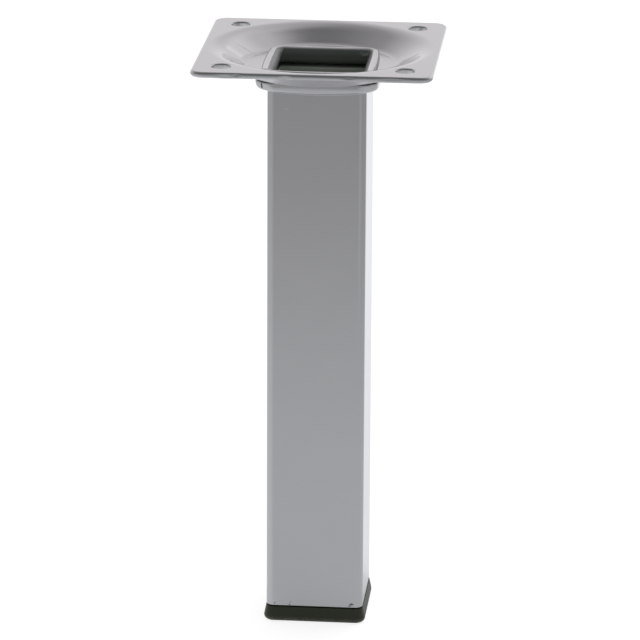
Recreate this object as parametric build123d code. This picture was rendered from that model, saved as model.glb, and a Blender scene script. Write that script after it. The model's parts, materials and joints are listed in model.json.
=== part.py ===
from build123d import *
import math
import os

# Square metal table leg: a pressed mounting plate, a square tube whose end is
# flared over the plate and upset into a bead below it, and a plastic foot cap
# pushed into the tube's lower end.
#
# Frame: +Z up, origin at the middle of the foot cap's underside, the photograph's
# front facing -Y. All sizes are in millimetres.

# Whole leg
leg_height = 150.0

# Mounting plate, pressed from one sheet
plate_size = 60.0
plate_thickness = 1.5
plate_corner_radius = 3.5
plate_upper_edge_round = 0.5
plate_lower_edge_round = 0.2

# Screw holes at the plate's four corners
screw_hole_spacing = 45.6
screw_hole_diameter = 4.8
screw_hole_mouth_diameter = 5.5
screw_hole_mouth_angle = 90.0

# Round dish pressed into the middle of the plate
dish_depth = 4.4
dish_rim_land = 1.0
dish_shoulder_bend = 9.0
dish_floor_bend = 4.0
dish_floor_margin = 0.2

# Square tube
tube_size = 25.0
tube_wall = 1.2
tube_corner_radius = 2.0

# Square hole in the dish floor, which the tube passes through
tube_hole_clearance = 0.1
tube_hole_lower_break = 0.3

# Tube end flared over the dish floor
lip_reach = 1.3
lip_inside_bend = 0.55

# Bead folded in the tube wall under the plate
bead_reach = 2.5
bead_gap = 0.9
bead_root_inside_bend = 0.15
bead_upper_inside_bend = 0.15
bead_lower_inside_bend = 0.7

# Foot cap: the base that shows below the tube
cap_base_height = 4.0
cap_top_overhang = 0.1
cap_bottom_overhang = 0.9
cap_bottom_edge_round = 1.2
cap_floor_thickness = 2.2

# Foot cap: the hollow plug with fins, hidden in the tube
plug_height = 16.0
plug_wall = 1.5
plug_core_clearance = 1.0
fin_count = 3
fin_thickness = 1.0
fin_clearance = 0.05
fin_lead_angle = 25.0
fin_end_margin = 1.5

# A bend keeps at least this much straight sheet beside it
shortest_straight = 0.02

# Levels that the pieces share
plate_underside = leg_height - plate_thickness
dish_floor = leg_height - dish_depth
dish_underside = dish_floor - plate_thickness
tube_bottom = cap_base_height

# Plan sizes that the pieces share
tube_half = tube_size / 2
bore_size = tube_size - 2 * tube_wall
bore_corner_radius = max(tube_corner_radius - tube_wall, 0.1)
tube_hole_size = tube_size + 2 * tube_hole_clearance
tube_hole_corner_radius = tube_corner_radius + tube_hole_clearance

# The lip's corner is the point of the tube that lies furthest out on the dish floor
lip_corner_radius = tube_corner_radius + lip_reach
lip_corner_distance = (
    math.sqrt(2) * (tube_half - tube_corner_radius) + lip_corner_radius
)
dish_floor_radius = lip_corner_distance + dish_floor_margin
dish_rim_radius = plate_size / 2 - dish_rim_land


def dish_bends():
    """Shoulder bend, floor bend and slope of the dish wall, in mm and radians.

    The wall is the straight line that touches both bends. Where the dish is too
    narrow for the wished bends, both shrink until an S curve fits.
    """
    run = dish_rim_radius - dish_floor_radius
    widest = (run**2 + dish_depth**2) / (2 * dish_depth)
    wished = dish_shoulder_bend + dish_floor_bend
    share = min(1.0, 0.98 * widest / wished)
    both = share * wished
    rise = both - dish_depth
    slope = math.asin(both / math.hypot(run, rise)) - math.atan2(rise, run)
    return share * dish_shoulder_bend, share * dish_floor_bend, slope


def sheet_face(drop):
    """One face line of the pressed sheet, drop below its upper face."""
    shoulder, floor, slope = dish_bends()
    half_turn = math.tan(slope / 2)
    floor_corner = dish_floor_radius + (floor + drop) * half_turn
    rim_corner = dish_rim_radius - (shoulder - drop) * half_turn
    return FilletPolyline(
        (0, dish_floor - drop),
        (floor_corner, dish_floor - drop),
        (rim_corner, leg_height - drop),
        (plate_size, leg_height - drop),
        radius=[floor + drop, shoulder - drop],
    )


def make_mounting_plate():
    """Square plate with a round dish, a square hole and four screw holes."""
    with BuildPart() as plate:
        with BuildSketch(Plane.XZ):
            with BuildLine():
                upper = sheet_face(0)
                lower = sheet_face(plate_thickness)
                Line(upper @ 0, lower @ 0)
                Line(upper @ 1, lower @ 1)
            make_face()
        revolve(axis=Axis.Z)

        with BuildSketch():
            RectangleRounded(plate_size, plate_size, plate_corner_radius)
        extrude(amount=2 * leg_height, mode=Mode.INTERSECT)
        land = plate.faces().filter_by(Plane.XY).sort_by(Axis.Z)
        fillet(land[-1].outer_wire().edges(), plate_upper_edge_round)
        ledge = plate.faces().filter_by(Plane.XY).filter_by(
            lambda face: abs(face.center().Z - plate_underside) < shortest_straight
        )
        fillet(ledge[0].outer_wire().edges(), plate_lower_edge_round)

        with BuildSketch(Plane.XY.offset(dish_underside)):
            RectangleRounded(tube_hole_size, tube_hole_size, tube_hole_corner_radius)
        extrude(amount=plate_thickness, mode=Mode.SUBTRACT)
        hole_edges = plate.edges(Select.LAST).group_by(Axis.Z)
        fillet(hole_edges[-1], lip_inside_bend + tube_hole_clearance)
        chamfer(
            plate.edges().group_by(Axis.Z)[0].filter_by(
                lambda edge: abs(edge.center().X) + abs(edge.center().Y) < 2 * tube_half
            ),
            tube_hole_lower_break,
        )

        with Locations((0, 0, leg_height)):
            with GridLocations(screw_hole_spacing, screw_hole_spacing, 2, 2):
                CounterSinkHole(
                    radius=screw_hole_diameter / 2,
                    counter_sink_radius=screw_hole_mouth_diameter / 2,
                    counter_sink_angle=screw_hole_mouth_angle,
                )
    return plate.part


def tube_wall_line():
    """Middle line of the tube wall, from the tube's lower end to the lip's tip."""
    half_wall = tube_wall / 2
    wall_x = tube_half - half_wall
    bead_x = wall_x + bead_reach
    bead_top = dish_underside - half_wall
    bead_bottom = bead_top - tube_wall - bead_gap
    lip_z = dish_floor + half_wall
    lip_tip_x = tube_half + lip_reach - half_wall

    root_bend = bead_root_inside_bend + half_wall
    upper_bend = bead_upper_inside_bend + half_wall
    lower_bend = min(
        bead_lower_inside_bend + half_wall,
        bead_top - bead_bottom - upper_bend - shortest_straight,
        bead_reach - root_bend - shortest_straight,
    )
    lip_bend = min(
        lip_inside_bend + half_wall,
        lip_tip_x - wall_x - shortest_straight,
    )
    return FilletPolyline(
        (wall_x, tube_bottom),
        (wall_x, bead_bottom),
        (bead_x, bead_bottom),
        (bead_x, bead_top),
        (wall_x, bead_top),
        (wall_x, lip_z),
        (lip_tip_x, lip_z),
        radius=[root_bend, lower_bend, upper_bend, root_bend, lip_bend],
    )


def make_leg_tube():
    """Square tube of one wall thickness, with its bead and its flared lip."""
    with BuildSketch(Plane.XZ) as section:
        with BuildLine():
            offset(tube_wall_line(), amount=tube_wall / 2)
        make_face()
        with Locations((tube_half, tube_bottom)):
            Rectangle(
                tube_size,
                tube_wall,
                align=(Align.CENTER, Align.MAX),
                mode=Mode.SUBTRACT,
            )

    straight = tube_size - 2 * tube_corner_radius
    corner = tube_half - tube_corner_radius
    corner_axis = Axis((corner, corner, 0), (0, 0, 1))
    with BuildPart() as tube:
        with PolarLocations(0, 4):
            add(extrude(section.sketch, amount=straight / 2, both=True))
            add(
                revolve(
                    section.sketch.moved(Location((0, corner, 0))),
                    axis=corner_axis,
                    revolution_arc=90,
                )
            )
    return tube.part


def make_foot_cap():
    """Plastic foot with a hollow plug and fins that hold it in the tube."""
    cap_top_size = tube_size + 2 * cap_top_overhang
    cap_bottom_size = tube_size + 2 * cap_bottom_overhang
    plug_size = bore_size - 2 * plug_core_clearance
    plug_corner_radius = max(bore_corner_radius, plug_wall + 0.3)
    fin_size = bore_size - 2 * fin_clearance
    fin_pitch = (plug_height - 2 * fin_end_margin - fin_thickness) / (fin_count - 1)

    with BuildPart() as cap:
        with BuildSketch():
            RectangleRounded(
                cap_bottom_size,
                cap_bottom_size,
                tube_corner_radius + cap_bottom_overhang,
            )
        with BuildSketch(Plane.XY.offset(cap_base_height)):
            RectangleRounded(
                cap_top_size, cap_top_size, tube_corner_radius + cap_top_overhang
            )
        loft()
        fillet(cap.edges().group_by(Axis.Z)[0], cap_bottom_edge_round)

        with BuildSketch(Plane.XY.offset(cap_base_height)):
            RectangleRounded(plug_size, plug_size, plug_corner_radius)
        extrude(amount=plug_height)

        for row in range(fin_count):
            level = cap_base_height + fin_end_margin + row * fin_pitch
            with BuildSketch(Plane.XY.offset(level)):
                RectangleRounded(fin_size, fin_size, bore_corner_radius)
            extrude(amount=fin_thickness, taper=fin_lead_angle)

        hollow_size = plug_size - 2 * plug_wall
        with BuildSketch(Plane.XY.offset(cap_floor_thickness)):
            RectangleRounded(
                hollow_size, hollow_size, plug_corner_radius - plug_wall
            )
        extrude(amount=leg_height, mode=Mode.SUBTRACT)
    return cap.part


os.makedirs("parts", exist_ok=True)
export_step(make_mounting_plate(), "parts/mounting_plate.step")
export_step(make_leg_tube(), "parts/leg_tube.step")
export_step(make_foot_cap(), "parts/foot_cap.step")
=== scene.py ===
import json
import logging
import math
from dataclasses import dataclass
from enum import Enum
from typing import Any, Sequence

import bmesh
import bpy
from mathutils import Matrix, Vector


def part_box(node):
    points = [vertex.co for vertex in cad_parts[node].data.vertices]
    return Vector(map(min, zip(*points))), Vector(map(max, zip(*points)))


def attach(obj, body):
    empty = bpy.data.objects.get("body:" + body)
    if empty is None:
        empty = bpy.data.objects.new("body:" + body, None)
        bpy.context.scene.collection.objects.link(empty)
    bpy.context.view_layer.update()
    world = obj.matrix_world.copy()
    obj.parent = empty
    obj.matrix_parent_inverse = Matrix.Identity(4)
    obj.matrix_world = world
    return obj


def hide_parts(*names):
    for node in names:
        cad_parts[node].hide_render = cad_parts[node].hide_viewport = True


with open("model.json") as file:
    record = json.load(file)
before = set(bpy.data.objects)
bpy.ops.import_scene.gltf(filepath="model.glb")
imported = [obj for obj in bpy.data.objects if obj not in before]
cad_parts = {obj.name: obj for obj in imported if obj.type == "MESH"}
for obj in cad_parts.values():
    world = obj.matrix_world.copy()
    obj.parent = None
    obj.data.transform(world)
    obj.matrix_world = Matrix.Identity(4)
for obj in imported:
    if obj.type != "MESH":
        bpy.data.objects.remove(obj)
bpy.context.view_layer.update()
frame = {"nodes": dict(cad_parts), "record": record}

# Lengths are in metres, as in the frame, and MM is one millimetre
MM = 0.001

log = logging.getLogger("table_leg")


class Slot(Enum):
    """The record's material slots that the new meshes carry."""

    PLATE = "lacquered_plate"
    TUBE = "lacquered_tube"


class Node(Enum):
    """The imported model's nodes."""

    PLATE = "mounting_plate"
    TUBE = "leg_tube"
    FOOT = "foot_cap"


# The dish's flat floor, which rises a little from the tube out to its bend
DISH_FLOOR_RADIUS = 18.35 * MM
RISE = 0.2 * MM
RISE_START = 13.8 * MM
RISE_TOP = 18.4 * MM
RISE_END = 25.0 * MM

# Mesh attribute: 1 where a face looks down and got less spray, so its lacquer is rougher; it also
# paints those faces lighter, painted light for the bright floor they mirror
UNDERSIDE_SPRAY_AND_PAINTED_LIGHT = "spray_shadow"


def mm(*sizes: float) -> tuple[float, ...]:
    """Sizes or a place in millimetres, turned into metres."""
    return tuple(size * MM for size in sizes)


def look_way(azimuth: float, elevation: float) -> Vector:
    """The way from the leg towards a direction in degrees, azimuth 0 being its front."""
    around, up = math.radians(azimuth), math.radians(elevation)
    return Vector((
        math.sin(around) * math.cos(up), -math.cos(around) * math.cos(up), math.sin(up)))


class Wire:
    """An output socket that can stand in a formula, each step of which adds a Math node."""

    def __init__(self, writer: "NodeWriter", socket: bpy.types.NodeSocket) -> None:
        """Keep the socket and the writer of its tree."""
        self.writer = writer
        self.socket = socket

    def __add__(self, other: Any) -> "Wire":
        """This value and another."""
        return self.writer.math("ADD", self, other)

    def __radd__(self, other: Any) -> "Wire":
        """Another value and this one."""
        return self.writer.math("ADD", other, self)

    def __sub__(self, other: Any) -> "Wire":
        """This value less another."""
        return self.writer.math("SUBTRACT", self, other)

    def __rsub__(self, other: Any) -> "Wire":
        """Another value less this one."""
        return self.writer.math("SUBTRACT", other, self)

    def __mul__(self, other: Any) -> "Wire":
        """This value times another."""
        return self.writer.math("MULTIPLY", self, other)

    def __truediv__(self, other: Any) -> "Wire":
        """This value divided by another."""
        return self.writer.math("DIVIDE", self, other)

    def __rtruediv__(self, other: Any) -> "Wire":
        """Another value divided by this one."""
        return self.writer.math("DIVIDE", other, self)


class NodeWriter:
    """Adds nodes to a node tree and joins them."""

    def __init__(self, tree: bpy.types.NodeTree) -> None:
        """Keep the tree that nodes are added to.

        Args:
            tree: a shader, world or geometry node tree.
        """
        self.tree = tree

    def add(self, kind: str, feeds: dict[Any, Any] | None = None, **settings: Any) -> bpy.types.Node:
        """Add one node.

        Args:
            kind: the node's type name.
            feeds: what each input, by name or number, takes: a socket or a plain value.
            settings: the node's own properties.

        Returns:
            The new node.
        """
        node = self.tree.nodes.new(kind)
        for name, value in settings.items():
            setattr(node, name, value)
        for key, value in (feeds or {}).items():
            self.feed(node.inputs[key], value)
        return node

    def feed(self, socket: bpy.types.NodeSocket, value: Any) -> None:
        """Link a socket to an input, or set the input's plain value.

        Args:
            socket: the input.
            value: an output socket, or a plain value.
        """
        source = value.socket if isinstance(value, Wire) else value
        if isinstance(source, bpy.types.NodeSocket):
            self.tree.links.new(source, socket)
        else:
            socket.default_value = source

    def wire(self, kind: str, feeds: dict[Any, Any] | None = None, output: int | str = 0,
             **settings: Any) -> Wire:
        """Add one node and return one of its outputs.

        Args:
            kind: the node's type name.
            feeds: what each input takes.
            output: the name or number of the output wanted.
            settings: the node's own properties.

        Returns:
            That output.
        """
        return Wire(self, self.add(kind, feeds, **settings).outputs[output])

    def math(self, operation: str, *values: Any, clamp: bool = False) -> Wire:
        """Add a Math node and return its result.

        Args:
            operation: the node's operation.
            values: its inputs in order, sockets or numbers.
            clamp: whether the result is kept between 0 and 1.

        Returns:
            The result.
        """
        return self.wire(
            "ShaderNodeMath", dict(enumerate(values)), operation=operation, use_clamp=clamp)

    def vector(self, operation: str, *values: Any, output: int = 0) -> Wire:
        """Add a Vector Math node and return one of its outputs.

        Args:
            operation: the node's operation.
            values: its inputs in order, sockets or vectors.
            output: the number of the output wanted.

        Returns:
            That output.
        """
        return self.wire(
            "ShaderNodeVectorMath", dict(enumerate(values)), output, operation=operation)

    def split(self, place: Any) -> list[Wire]:
        """The parts of a place: across, in depth and up."""
        return [Wire(self, part) for part in self.add("ShaderNodeSeparateXYZ", {0: place}).outputs]

    def noise(self, place: Any, scale: Any, detail: float) -> Wire:
        """Add a soft noise.

        Args:
            place: where the noise is read.
            scale: how many of its clouds lie in one metre.
            detail: how many finer layers it has.

        Returns:
            The noise, from 0 to 1.
        """
        return self.wire(
            "ShaderNodeTexNoise", {"Vector": place, "Scale": scale, "Detail": detail}, "Fac")

    def smooth_step(self, value: Any, low: float, high: float,
                    to_low: float = 0.0, to_high: float = 1.0) -> Wire:
        """Add a smooth change of a value from one level to another.

        Args:
            value: what drives the change.
            low: where the change starts.
            high: where the change ends.
            to_low: the level before the change.
            to_high: the level after it.

        Returns:
            The changed value.
        """
        return self.wire(
            "ShaderNodeMapRange",
            {0: value, 1: low, 2: high, 3: to_low, 4: to_high},
            interpolation_type="SMOOTHSTEP",
        )

    def ramp(self, value: Any, stops: Sequence[tuple[float, float]]) -> Wire:
        """Add a grey ramp.

        Args:
            value: what drives the ramp.
            stops: pairs of a place between 0 and 1 and the grey level there.

        Returns:
            The ramp's colour.
        """
        node = self.add("ShaderNodeValToRGB", {0: value})
        elements = node.color_ramp.elements
        while len(elements) < len(stops):
            elements.new(1.0)
        for element, (place, level) in zip(elements, stops):
            element.position = place
            element.color = (level, level, level, 1.0)
        return Wire(self, node.outputs[0])

    def mix_colour(self, factor: Any, first: Any, second: Any, blend: str = "MIX") -> Wire:
        """Mix two colours.

        Args:
            factor: the share of the second colour.
            first: the first colour, a socket or red, green and blue.
            second: the second colour, a socket or red, green and blue.
            blend: the way they are blended.

        Returns:
            The mixed colour.
        """
        node = self.add("ShaderNodeMix", data_type="RGBA", blend_type=blend)
        self.feed(node.inputs[0], factor)
        for number, colour in ((6, first), (7, second)):
            self.feed(node.inputs[number], (*colour, 1.0) if isinstance(colour, tuple) else colour)
        return Wire(self, node.outputs[2])

    def group(self, tree: bpy.types.NodeTree, feeds: dict[str, Any]) -> dict[str, Wire]:
        """Place a shader node group.

        Args:
            tree: the group's own tree.
            feeds: what each of its inputs takes.

        Returns:
            The group's outputs by name.
        """
        node = self.add("ShaderNodeGroup", node_tree=tree)
        for key, value in feeds.items():
            self.feed(node.inputs[key], value)
        return {socket.name: Wire(self, socket) for socket in node.outputs}


def new_group(name: str, kind: str, inputs: Sequence[tuple[str, str, Any]],
              outputs: Sequence[tuple[str, str]]) -> tuple[NodeWriter, dict[str, Wire], bpy.types.Node]:
    """Start a node group with named sockets.

    Args:
        name: the group's name.
        kind: its tree type.
        inputs: name, socket type and default value (None for no default) of each input.
        outputs: name and socket type of each output.

    Returns:
        A writer for the group, its input sockets by name, and its output node.
    """
    tree = bpy.data.node_groups.new(name, kind)
    for title, socket_type, value in inputs:
        socket = tree.interface.new_socket(title, in_out="INPUT", socket_type=socket_type)
        if value is not None:
            socket.default_value = value
    for title, socket_type in outputs:
        tree.interface.new_socket(title, in_out="OUTPUT", socket_type=socket_type)
    writer = NodeWriter(tree)
    entry = writer.add("NodeGroupInput")
    leave = writer.add("NodeGroupOutput")
    sockets = {socket.name: Wire(writer, socket) for socket in entry.outputs if socket.name}
    return writer, sockets, leave


# The node socket type that carries each type of value
SOCKET_TYPES = {
    float: "NodeSocketFloat",
    int: "NodeSocketInt",
    bpy.types.Material: "NodeSocketMaterial",
    bpy.types.Object: "NodeSocketObject",
}


def geometry_group(name: str, values: dict[str, Any]) -> tuple[
        NodeWriter, dict[str, Wire], bpy.types.Node]:
    """Start a geometry node tree that takes a geometry and some named values.

    Args:
        name: the tree's name.
        values: the name of each further input and the value it starts from.

    Returns:
        A writer for the tree, its input sockets by name, and its output node.
    """
    inputs = [("Geometry", "NodeSocketGeometry", None)]
    inputs += [(title, SOCKET_TYPES[type(value)], value) for title, value in values.items()]
    return new_group(name, "GeometryNodeTree", inputs, [("Geometry", "NodeSocketGeometry")])


@dataclass(frozen=True)
class Grain:
    """Fine unevenness of a sprayed or moulded surface, shared by several finishes."""

    cloud_size: float = 14 * MM
    cell_size: float = 0.55 * MM
    flakes_in_cell: float = 6.0
    flake_share: float = 0.35
    middle: float = 0.63
    group_name: str = "surface_grain"

    def tree(self) -> bpy.types.NodeTree:
        """Build the shader group once.

        Returns:
            The group, which puts out a tone, a roughness and a height.
        """
        if self.group_name in bpy.data.node_groups:
            return bpy.data.node_groups[self.group_name]
        writer, entry, leave = new_group(
            self.group_name, "ShaderNodeTree",
            [
                ("Colour", "NodeSocketColor", (0.5, 0.5, 0.5, 1.0)),
                ("Tone Change", "NodeSocketFloat", 0.04),
                ("Roughness", "NodeSocketFloat", 0.3),
                ("Roughness Change", "NodeSocketFloat", 0.04),
                ("Cell Size", "NodeSocketFloat", self.cell_size),
            ],
            [
                ("Colour", "NodeSocketColor"),
                ("Roughness", "NodeSocketFloat"),
                ("Height", "NodeSocketFloat"),
            ],
        )
        place = writer.wire("ShaderNodeTexCoord", output="Object")
        cloud = writer.noise(place, 1 / self.cloud_size, 3.0)
        cell_scale = 1.0 / entry["Cell Size"]
        cells = writer.noise(place, cell_scale, 1.0)
        flakes = writer.wire("ShaderNodeTexVoronoi", {
            "Vector": place, "Scale": cell_scale * self.flakes_in_cell}, "Distance")
        swing = cloud + flakes * self.flake_share - self.middle
        tone = 1.0 + swing * (entry["Tone Change"] * 2.0)
        shade = writer.wire("ShaderNodeCombineColor", {0: tone, 1: tone, 2: tone})
        writer.feed(leave.inputs["Colour"], writer.mix_colour(
            1.0, entry["Colour"], shade, "MULTIPLY"))
        writer.feed(leave.inputs["Roughness"],
                    entry["Roughness"] + swing * (entry["Roughness Change"] * 2.0))
        writer.feed(leave.inputs["Height"], cells)
        return writer.tree


@dataclass(frozen=True)
class PlacedMarkMask:
    """Small marks that sit at one place, real flaws and painted light alike, shared by the sprayed
    finishes.
    """

    group_name: str = "placed_flaw"
    ragged: float = 0.45
    noise_scale: float = 1.6
    rim_start: float = 0.75

    def tree(self) -> bpy.types.NodeTree:
        """Build the shader group once.

        Returns:
            The group, which puts out 1 inside the mark and 0 outside it.
        """
        if self.group_name in bpy.data.node_groups:
            return bpy.data.node_groups[self.group_name]
        writer, entry, leave = new_group(
            self.group_name, "ShaderNodeTree",
            [
                ("Place", "NodeSocketVector", (0.0, 0.0, 0.0)),
                ("Size", "NodeSocketVector", mm(1, 1, 1)),
            ],
            [("Mask", "NodeSocketFloat")],
        )
        place = writer.wire("ShaderNodeTexCoord", output="Object")
        offset = writer.vector(
            "DIVIDE", writer.vector("SUBTRACT", place, entry["Place"]), entry["Size"])
        reach = writer.vector("LENGTH", offset, output=1)
        noise = writer.noise(offset, self.noise_scale, 2.0)
        rim = reach + (noise - 0.5) * (2 * self.ragged)
        writer.feed(leave.inputs["Mask"], writer.smooth_step(rim, self.rim_start, 1.0, 1.0, 0.0))
        return writer.tree


@dataclass(frozen=True)
class PlacedMark:
    """One mark on a sprayed surface, a real flaw, painted shade or a painted highlight: its place,
    reach and tone.
    """

    place: tuple[float, ...]
    size: tuple[float, ...]
    colour: tuple[float, float, float]
    bare_metal: bool = False

    def mask(self, writer: NodeWriter) -> Wire:
        """1 inside the mark and 0 outside it."""
        return writer.group(PlacedMarkMask().tree(), {"Place": self.place, "Size": self.size})["Mask"]


class Finish:
    """Shared steps of the procedural materials."""

    @staticmethod
    def start(name: str) -> tuple[bpy.types.Material, NodeWriter, bpy.types.Node]:
        """Make a material with a Principled shader.

        Args:
            name: the material's name.

        Returns:
            The material, a writer for its nodes and the shader's node.
        """
        material = bpy.data.materials.new(name)
        material.use_nodes = True
        writer = NodeWriter(material.node_tree)
        return material, writer, material.node_tree.nodes["Principled BSDF"]

    @staticmethod
    def dress(writer: NodeWriter, shader: bpy.types.Node, grain: dict[str, Wire],
              strength: float, depth: float) -> None:
        """Feed a shader with the grain group's tone, roughness and height.

        Args:
            writer: writes the material's nodes.
            shader: the Principled shader.
            grain: the group's outputs.
            strength: how much of the height shows, from 0 to 1.
            depth: how deep the grain is.
        """
        writer.feed(shader.inputs["Base Color"], grain["Colour"])
        writer.feed(shader.inputs["Roughness"], grain["Roughness"])
        writer.feed(shader.inputs["Normal"], writer.wire("ShaderNodeBump", {
            "Strength": strength, "Distance": depth, "Height": grain["Height"]}))


@dataclass(frozen=True)
class SilverLacquer(Finish):
    """Sprayed and baked silver lacquer with fine metal flakes, a satin surface."""

    name: str = "silver_lacquer"
    colour: tuple[float, float, float] = (0.585, 0.585, 0.59)
    tone_change: float = 0.03
    metallic: float = 0.86
    roughness: float = 0.1
    roughness_change: float = 0.03
    coat: float = 0.12
    coat_roughness: float = 0.1
    cell_size: float = 0.5 * MM
    peel_height: float = 0.004 * MM
    peel_strength: float = 0.22
    shadow_roughness: float = 0.32
    shadow_metallic: float = 0.82
    # Painted light: the lighter colour of faces that look down, a painted reflection of the bright
    # floor
    underside_painted_light_colour: tuple[float, float, float] = (0.79, 0.79, 0.80)
    placed_marks: tuple[PlacedMark, ...] = (
        PlacedMark(mm(-7.48, -12.5, 136.9), mm(0.6, 0.5, 0.13), (0.76, 0.76, 0.77), bare_metal=True),
        PlacedMark(mm(9.75, -12.5, 5.25), mm(0.62, 0.5, 0.3), (0.30, 0.30, 0.31)),
        PlacedMark(mm(9.3, -12.5, 4.8), mm(0.5, 0.5, 0.2), (0.36, 0.36, 0.36)),
        PlacedMark(mm(-10.2, -12.4, 4.9), mm(0.32, 0.5, 0.2), (0.50, 0.50, 0.50)),
        PlacedMark(mm(-6.35, -12.5, 4.6), mm(0.3, 0.5, 0.18), (0.33, 0.33, 0.33)),
        PlacedMark(mm(-6.1, -12.5, 5.3), mm(0.22, 0.5, 0.15), (0.62, 0.62, 0.63)),
        # Painted shade: a dark mark in the crease at the bead's front left corner
        PlacedMark(mm(-13.5, -14.4, 143.2), mm(0.3, 0.9, 1.1), (0.13, 0.13, 0.13)),
    )

    def build(self) -> bpy.types.Material:
        """Make the material.

        Returns:
            The material.
        """
        material, writer, shader = self.start(self.name)
        # Faces that look down get rougher lacquer and, as painted light, a lighter colour
        shadow = writer.wire("ShaderNodeAttribute", output="Fac", attribute_name=UNDERSIDE_SPRAY_AND_PAINTED_LIGHT)
        grain = writer.group(Grain().tree(), {
            "Colour": writer.mix_colour(shadow, self.colour, self.underside_painted_light_colour),
            "Tone Change": self.tone_change,
            "Roughness": self.roughness + shadow * self.shadow_roughness,
            "Roughness Change": self.roughness_change,
            "Cell Size": self.cell_size,
        })
        metallic = writer.smooth_step(shadow, 0.0, 1.0, self.metallic, self.shadow_metallic)
        for spot in self.placed_marks:
            mask = spot.mask(writer)
            grain["Colour"] = writer.mix_colour(mask, grain["Colour"], spot.colour)
            if not spot.bare_metal:
                metallic = metallic * (1.0 - mask)
        self.dress(writer, shader, grain, self.peel_strength, self.peel_height)
        writer.feed(shader.inputs["Metallic"], metallic)
        shader.inputs["Coat Weight"].default_value = self.coat
        shader.inputs["Coat Roughness"].default_value = self.coat_roughness
        return material


@dataclass(frozen=True)
class BoreSteel(Finish):
    """The inside of the tube: dark bare steel, lacquered only where the spray got in; the bare steel is
    painted lighter below the bead's fold as painted light, and a painted highlight lies in one corner.
    """

    name: str = "tube_bore_steel"
    spray_colour: tuple[float, float, float] = (0.50, 0.50, 0.505)
    spray_metallic: float = 0.25
    spray_roughness: float = 0.5
    # Painted light: bare steel below the bead's fold is painted far lighter than the fold colour above
    # it, to stand in for the light that fades deep in the bore
    steel_painted_light_colour: tuple[float, float, float] = (0.62, 0.66, 0.58)
    fold_colour: tuple[float, float, float] = (0.15, 0.168, 0.147)
    fold_bottom: float = 142.1 * MM
    fold_fade: tuple[float, ...] = mm(0.3, 0.1)
    steel_metallic: float = 0.1
    steel_roughness: float = 0.5
    tone_change: float = 0.2
    roughness_change: float = 0.1
    cell_size: float = 0.9 * MM
    grain_strength: float = 0.4
    grain_depth: float = 0.02 * MM
    spray_end: float = 146.66 * MM
    spray_fade: float = 0.3 * MM
    back_reach: float = 0.12 * MM
    left_reach: float = 2.2 * MM
    left_wall: tuple[float, ...] = mm(-10.6, -11.4)
    patch_size: float = 1.5 * MM
    ragged: float = 1.3 * MM
    # Painted highlight: a light patch in the bore's back right corner, drawn with the sprayed lacquer
    corner_painted_highlight: PlacedMark = PlacedMark(mm(9.8, 11.0, 145.7), mm(1.7, 0.9, 0.8), (0.5, 0.5, 0.5))
    corner_highlight_share: tuple[float, ...] = (0.42, 0.58, 0.1, 0.7)

    def spray(self, writer: NodeWriter, place: Wire) -> Wire:
        """Add the nodes that say where spray reached, deeper on the left wall than behind, and where
        the painted highlight lies.

        Args:
            writer: writes the material's nodes.
            place: the place on the surface.

        Returns:
            1 where lacquer or the painted highlight lies and 0 on bare steel.
        """
        wide, _, height = writer.split(place)
        patches = writer.noise(place, 1 / self.patch_size, 4.0)
        leftwards = writer.smooth_step(wide, *self.left_wall)
        deeper = self.back_reach + leftwards * self.left_reach
        level = self.spray_end - deeper + (patches - 0.5) * (leftwards * self.ragged)
        edge = writer.smooth_step((height - level) / self.spray_fade, -0.5, 0.5)
        # The painted highlight in the back right corner
        patch = self.corner_painted_highlight.mask(writer) * writer.smooth_step(patches, *self.corner_highlight_share)
        return writer.math("MAXIMUM", edge, patch)

    def build(self) -> bpy.types.Material:
        """Make the material.

        Returns:
            The material.
        """
        material, writer, shader = self.start(self.name)
        place = writer.wire("ShaderNodeTexCoord", output="Object")
        # Spray here holds both the lacquer and the corner's painted highlight
        spray = self.spray(writer, place)
        height = writer.split(place)[2]
        # Bare steel, painted lighter below the fold than above it: painted light
        folded = writer.smooth_step(
            height, self.fold_bottom - self.fold_fade[0], self.fold_bottom + self.fold_fade[1])
        bare = writer.mix_colour(folded, self.steel_painted_light_colour, self.fold_colour)
        grain = writer.group(Grain().tree(), {
            "Colour": writer.mix_colour(spray, bare, self.spray_colour),
            "Tone Change": self.tone_change,
            "Roughness": writer.smooth_step(
                spray, 0.0, 1.0, self.steel_roughness, self.spray_roughness),
            "Roughness Change": self.roughness_change,
            "Cell Size": self.cell_size,
        })
        self.dress(writer, shader, grain, self.grain_strength, self.grain_depth)
        writer.feed(shader.inputs["Metallic"], writer.smooth_step(
            spray, 0.0, 1.0, self.steel_metallic, self.spray_metallic))
        return material


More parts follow.
